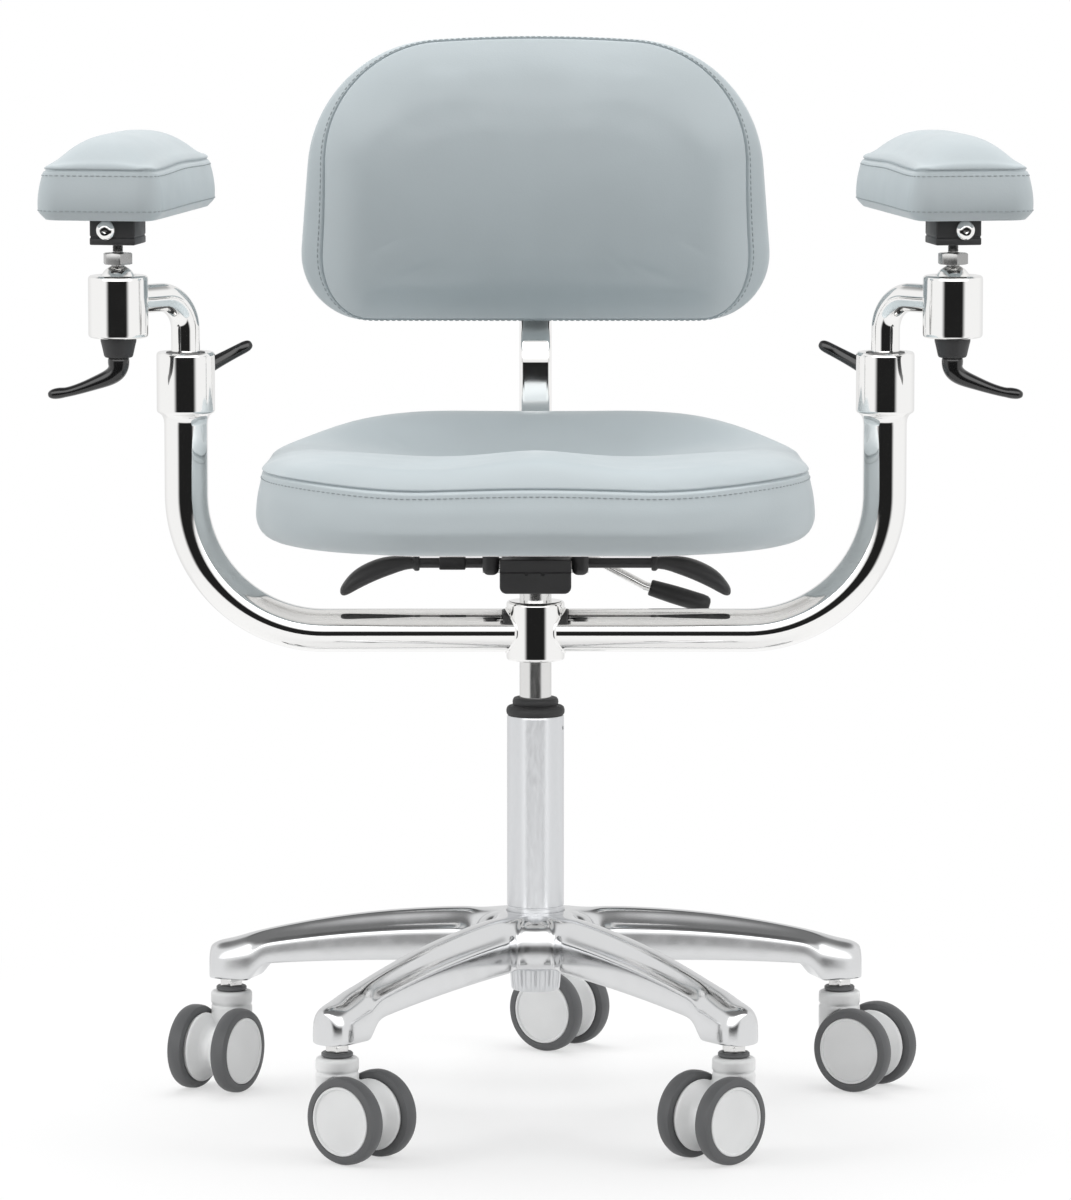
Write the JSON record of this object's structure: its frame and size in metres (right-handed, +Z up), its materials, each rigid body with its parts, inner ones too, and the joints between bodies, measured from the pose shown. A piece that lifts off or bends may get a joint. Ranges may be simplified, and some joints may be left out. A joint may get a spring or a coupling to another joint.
{
  "type": "microscope chair",
  "caption": "Height-adjustable swivel chair on a castered star base, with a padded seat and back and two padded arm rests on clamped swing posts with ball joints.",
  "frame": {"origin": "on the floor, on the axis of the gas column", "axes": "+Z up, the sitter faces -Y, +X to the sitter's left"},
  "size_m": [0.8468, 0.6109, 0.932],
  "materials": {
    "polished_aluminium": "polished",
    "satin_aluminium": "satin",
    "chrome": "polished",
    "bright_steel": "satin",
    "black_metal": "satin",
    "black_plastic": "satin",
    "black_gloss": "gloss",
    "black_rubber": "matte",
    "upholstery": "satin",
    "caster_plastic": "satin",
    "wheel_plastic": "matte"
  },
  "bodies": {
    "base": {"star_base": "polished_aluminium", "caster_stems": "bright_steel", "column_tube": "satin_aluminium", "guide_bush": "black_plastic", "column_seals": "black_rubber", "thrust_bearing": "bright_steel"},
    "spindle": {"piston_rod": "bright_steel"},
    "lift": {"gas_cylinder": "bright_steel", "yoke_collar": "chrome", "arm_tube_left": "chrome", "arm_tube_right": "chrome", "mechanism_body": "black_metal", "mechanism_cover": "black_plastic", "pivot_pins": "bright_steel"},
    "seat": {"seat_plate": "black_plastic", "seat_cushion": "upholstery"},
    "back_arm": {"back_bar": "chrome"},
    "backrest": {"back_bracket": "black_plastic", "back_shell": "black_plastic", "back_cushion": "upholstery"},
    "back_knob": {"back_knob": "black_plastic"},
    "tilt_lever": {"tilt_lever": "black_plastic"},
    "height_lever": {"height_lever": "black_plastic"},
    "back_lever": {"back_lever_rod": "chrome", "back_lever_grip": "black_plastic"},
    "post_lever_left": {"post_lever_left": "black_gloss"},
    "sleeve_left": {"post_sleeve_left": "black_plastic"},
    "post_left": {"elbow_post_left": "chrome", "pad_socket_left": "chrome"},
    "pad_lever_left": {"pad_lever_left": "black_gloss"},
    "ball_left": {"pad_ball_left": "chrome"},
    "stud_left": {"pad_stud_left": "chrome"},
    "pad_left": {"pad_block_left": "black_plastic", "pad_screw_left": "chrome", "pad_cushion_left": "upholstery"},
    "post_lever_right": {"post_lever_right": "black_gloss"},
    "sleeve_right": {"post_sleeve_right": "black_plastic"},
    "post_right": {"elbow_post_right": "chrome", "pad_socket_right": "chrome"},
    "pad_lever_right": {"pad_lever_right": "black_gloss"},
    "ball_right": {"pad_ball_right": "chrome"},
    "stud_right": {"pad_stud_right": "chrome"},
    "pad_right": {"pad_block_right": "black_plastic", "pad_screw_right": "chrome", "pad_cushion_right": "upholstery"},
    "caster_1": {"caster_housing_1": "caster_plastic"},
    "wheel_1_left": {"caster_wheel_1_left": "wheel_plastic"},
    "wheel_1_right": {"caster_wheel_1_right": "wheel_plastic"},
    "caster_2": {"caster_housing_2": "caster_plastic"},
    "wheel_2_left": {"caster_wheel_2_left": "wheel_plastic"},
    "wheel_2_right": {"caster_wheel_2_right": "wheel_plastic"},
    "caster_3": {"caster_housing_3": "caster_plastic"},
    "wheel_3_left": {"caster_wheel_3_left": "wheel_plastic"},
    "wheel_3_right": {"caster_wheel_3_right": "wheel_plastic"},
    "caster_4": {"caster_housing_4": "caster_plastic"},
    "wheel_4_left": {"caster_wheel_4_left": "wheel_plastic"},
    "wheel_4_right": {"caster_wheel_4_right": "wheel_plastic"},
    "caster_5": {"caster_housing_5": "caster_plastic"},
    "wheel_5_left": {"caster_wheel_5_left": "wheel_plastic"},
    "wheel_5_right": {"caster_wheel_5_right": "wheel_plastic"}
  },
  "joints": [
    {"name": "seat_swivel", "type": "hinge", "parent": "base", "child": "spindle", "pos_m": [0, 0, 0.16], "axis": [0, 0, 1], "continuous": true},
    {"name": "seat_height", "type": "slide", "parent": "spindle", "child": "lift", "axis": [0, 0, 1], "range_m": [-0.03, 0.12]},
    {"name": "seat_tilt", "type": "hinge", "parent": "lift", "child": "seat", "pos_m": [0, -0.04, 0.4815], "axis": [-1, 0, 0], "range_deg": [-3, 4.5]},
    {"name": "back_recline", "type": "hinge", "parent": "lift", "child": "back_arm", "pos_m": [0, 0.095, 0.4725], "axis": [-1, 0, 0], "range_deg": [0, 20]},
    {"name": "back_height", "type": "slide", "parent": "back_arm", "child": "backrest", "axis": [0, 0, 1], "range_m": [-0.01, 0.055]},
    {"name": "back_knob_turn", "type": "hinge", "parent": "backrest", "child": "back_knob", "pos_m": [0, 0.25785, 0.74653], "axis": [0, 1, 0], "continuous": true},
    {"name": "tilt_lever_pull", "type": "hinge", "parent": "lift", "child": "tilt_lever", "pos_m": [-0.1, -0.015, 0.4825], "axis": [1, 0, 0], "range_deg": [-12, 12], "stiffness_Nm_per_rad": 0.6},
    {"name": "height_lever_pull", "type": "hinge", "parent": "lift", "child": "height_lever", "pos_m": [0.1, -0.015, 0.4825], "axis": [1, 0, 0], "range_deg": [-12, 12], "stiffness_Nm_per_rad": 0.6},
    {"name": "back_lever_pull", "type": "hinge", "parent": "lift", "child": "back_lever", "pos_m": [0.0215, 0.042, 0.4805], "axis": [1, 0, 0], "range_deg": [0, 25], "stiffness_Nm_per_rad": 0.6},
    {"name": "post_lever_left_turn", "type": "hinge", "parent": "lift", "child": "post_lever_left", "pos_m": [-0.305, 0.0255, 0.6395], "axis": [0, -1, 0], "range_deg": [-25, 40]},
    {"name": "arm_swing_left", "type": "hinge", "parent": "lift", "child": "sleeve_left", "pos_m": [-0.305, 0, 0.635], "axis": [0, 0, 1], "range_deg": [-30, 60]},
    {"name": "arm_height_left", "type": "slide", "parent": "sleeve_left", "child": "post_left", "axis": [0, 0, 1], "range_m": [-0.015, 0.06]},
    {"name": "pad_lever_left_turn", "type": "hinge", "parent": "post_left", "child": "pad_lever_left", "pos_m": [-0.35988, -0.05683, 0.683], "axis": [0, 0, 1], "range_deg": [-60, 60]},
    {"name": "pad_pitch_left", "type": "hinge", "parent": "post_left", "child": "ball_left", "pos_m": [-0.35988, -0.05683, 0.73], "axis": [0.9848, -0.1736, 0], "range_deg": [-12, 12]},
    {"name": "pad_roll_left", "type": "hinge", "parent": "ball_left", "child": "stud_left", "pos_m": [-0.35988, -0.05683, 0.73], "axis": [0.1736, 0.9848, 0], "range_deg": [-12, 12]},
    {"name": "pad_turn_left", "type": "hinge", "parent": "stud_left", "child": "pad_left", "pos_m": [-0.35988, -0.05683, 0.77], "axis": [0, 0, 1], "range_deg": [-35, 35]},
    {"name": "post_lever_right_turn", "type": "hinge", "parent": "lift", "child": "post_lever_right", "pos_m": [0.305, 0.0255, 0.6395], "axis": [0, 1, 0], "range_deg": [-25, 40]},
    {"name": "arm_swing_right", "type": "hinge", "parent": "lift", "child": "sleeve_right", "pos_m": [0.305, 0, 0.635], "axis": [0, 0, -1], "range_deg": [-30, 60]},
    {"name": "arm_height_right", "type": "slide", "parent": "sleeve_right", "child": "post_right", "axis": [0, 0, 1], "range_m": [-0.015, 0.06]},
    {"name": "pad_lever_right_turn", "type": "hinge", "parent": "post_right", "child": "pad_lever_right", "pos_m": [0.35988, -0.05683, 0.683], "axis": [0, 0, 1], "range_deg": [-60, 60]},
    {"name": "pad_pitch_right", "type": "hinge", "parent": "post_right", "child": "ball_right", "pos_m": [0.35988, -0.05683, 0.73], "axis": [0.9848, 0.1736, 0], "range_deg": [-12, 12]},
    {"name": "pad_roll_right", "type": "hinge", "parent": "ball_right", "child": "stud_right", "pos_m": [0.35988, -0.05683, 0.73], "axis": [-0.1736, 0.9848, 0], "range_deg": [-12, 12]},
    {"name": "pad_turn_right", "type": "hinge", "parent": "stud_right", "child": "pad_right", "pos_m": [0.35988, -0.05683, 0.77], "axis": [0, 0, 1], "range_deg": [-35, 35]},
    {"name": "caster_1_swivel", "type": "hinge", "parent": "base", "child": "caster_1", "pos_m": [0, 0.286, 0.075], "axis": [0, 0, 1], "continuous": true},
    {"name": "wheel_1_left_spin", "type": "hinge", "parent": "caster_1", "child": "wheel_1_left", "pos_m": [0.02238, 0.2709, 0.0375], "axis": [0.5592, 0.829, 0], "continuous": true},
    {"name": "wheel_1_right_spin", "type": "hinge", "parent": "caster_1", "child": "wheel_1_right", "pos_m": [0.02238, 0.2709, 0.0375], "axis": [0.5592, 0.829, 0], "continuous": true},
    {"name": "caster_2_swivel", "type": "hinge", "parent": "base", "child": "caster_2", "pos_m": [-0.272, 0.08838, 0.075], "axis": [0, 0, 1], "continuous": true},
    {"name": "wheel_2_left_spin", "type": "hinge", "parent": "caster_2", "child": "wheel_2_left", "pos_m": [-0.28509, 0.06476, 0.0375], "axis": [0.8746, -0.4848, 0], "continuous": true},
    {"name": "wheel_2_right_spin", "type": "hinge", "parent": "caster_2", "child": "wheel_2_right", "pos_m": [-0.28509, 0.06476, 0.0375], "axis": [0.8746, -0.4848, 0], "continuous": true},
    {"name": "caster_3_swivel", "type": "hinge", "parent": "base", "child": "caster_3", "pos_m": [-0.16811, -0.23138, 0.075], "axis": [0, 0, 1], "continuous": true},
    {"name": "wheel_3_left_spin", "type": "hinge", "parent": "caster_3", "child": "wheel_3_left", "pos_m": [-0.14683, -0.248, 0.0375], "axis": [0.6157, 0.788, 0], "continuous": true},
    {"name": "wheel_3_right_spin", "type": "hinge", "parent": "caster_3", "child": "wheel_3_right", "pos_m": [-0.14683, -0.248, 0.0375], "axis": [0.6157, 0.788, 0], "continuous": true},
    {"name": "caster_4_swivel", "type": "hinge", "parent": "base", "child": "caster_4", "pos_m": [0.16811, -0.23138, 0.075], "axis": [0, 0, 1], "continuous": true},
    {"name": "wheel_4_left_spin", "type": "hinge", "parent": "caster_4", "child": "wheel_4_left", "pos_m": [0.14868, -0.25013, 0.0375], "axis": [0.6947, -0.7193, 0], "continuous": true},
    {"name": "wheel_4_right_spin", "type": "hinge", "parent": "caster_4", "child": "wheel_4_right", "pos_m": [0.14868, -0.25013, 0.0375], "axis": [0.6947, -0.7193, 0], "continuous": true},
    {"name": "caster_5_swivel", "type": "hinge", "parent": "base", "child": "caster_5", "pos_m": [0.272, 0.08838, 0.075], "axis": [0, 0, 1], "continuous": true},
    {"name": "wheel_5_left_spin", "type": "hinge", "parent": "caster_5", "child": "wheel_5_left", "pos_m": [0.29465, 0.07367, 0.0375], "axis": [0.5446, 0.8387, 0], "continuous": true},
    {"name": "wheel_5_right_spin", "type": "hinge", "parent": "caster_5", "child": "wheel_5_right", "pos_m": [0.29465, 0.07367, 0.0375], "axis": [0.5446, 0.8387, 0], "continuous": true}
  ]
}
